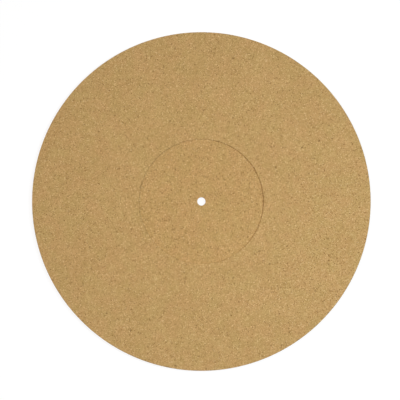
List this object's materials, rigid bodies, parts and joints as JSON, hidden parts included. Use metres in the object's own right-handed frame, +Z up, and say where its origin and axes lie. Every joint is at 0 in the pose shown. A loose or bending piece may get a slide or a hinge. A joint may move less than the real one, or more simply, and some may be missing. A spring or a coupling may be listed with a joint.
{
  "type": "turntable platter mat",
  "caption": "Flat round cork mat that lies on a record player's platter, with a shallow label recess and a spindle hole.",
  "frame": {"origin": "centre of the flat underside, on the spindle's axis", "axes": "+Z up along the spindle, away from the platter; the mat is round, so X and Y have no preferred direction"},
  "size_m": [0.3, 0.3, 0.003],
  "materials": {
    "pressed_cork": "fine-grained agglomerated cork, sanded matte, natural tan with small dark bark flecks"
  },
  "bodies": {
    "root": {"platter_mat": "pressed_cork"}
  },
  "joints": []
}
